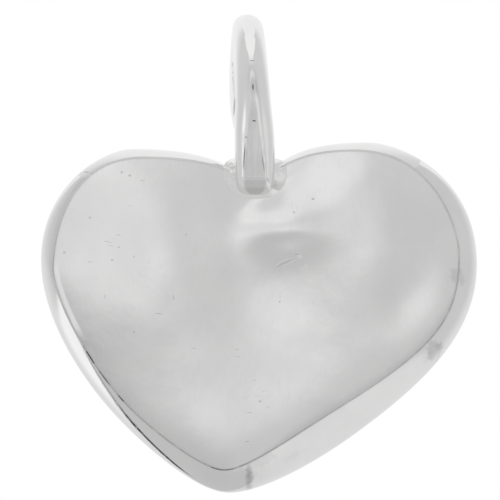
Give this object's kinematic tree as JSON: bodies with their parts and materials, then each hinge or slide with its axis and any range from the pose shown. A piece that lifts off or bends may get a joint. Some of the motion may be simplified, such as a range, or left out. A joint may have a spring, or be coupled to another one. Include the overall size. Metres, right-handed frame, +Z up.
{
  "type": "heart pendant",
  "caption": "Hollow silver heart pendant with a dished, hammered face, a rounded side wall, a flat back and a forged loop soldered over the cleft for a chain.",
  "frame": {"origin": "point inside the crown of the bail loop where a chain bears, midway between the legs", "axes": "+Z up as the pendant hangs, +X to the right of its face, +Y from the face to the back, so the face looks along -Y"},
  "size_m": [0.0301, 0.0092, 0.0333],
  "materials": {
    "polished_silver": "hand-polished sterling silver with soft hammer marks and fine scratches",
    "silver_solder": "hard silver solder, polished over, slightly darker along its seams"
  },
  "bodies": {
    "root": {"face_plate": "polished_silver", "side_wall": "polished_silver", "back_plate": "polished_silver", "bail_loop": "polished_silver", "face_seam_solder": "silver_solder", "back_seam_solder": "silver_solder", "wall_joint_solder": "silver_solder", "front_foot_solder": "silver_solder", "rear_foot_solder": "silver_solder"}
  },
  "joints": []
}
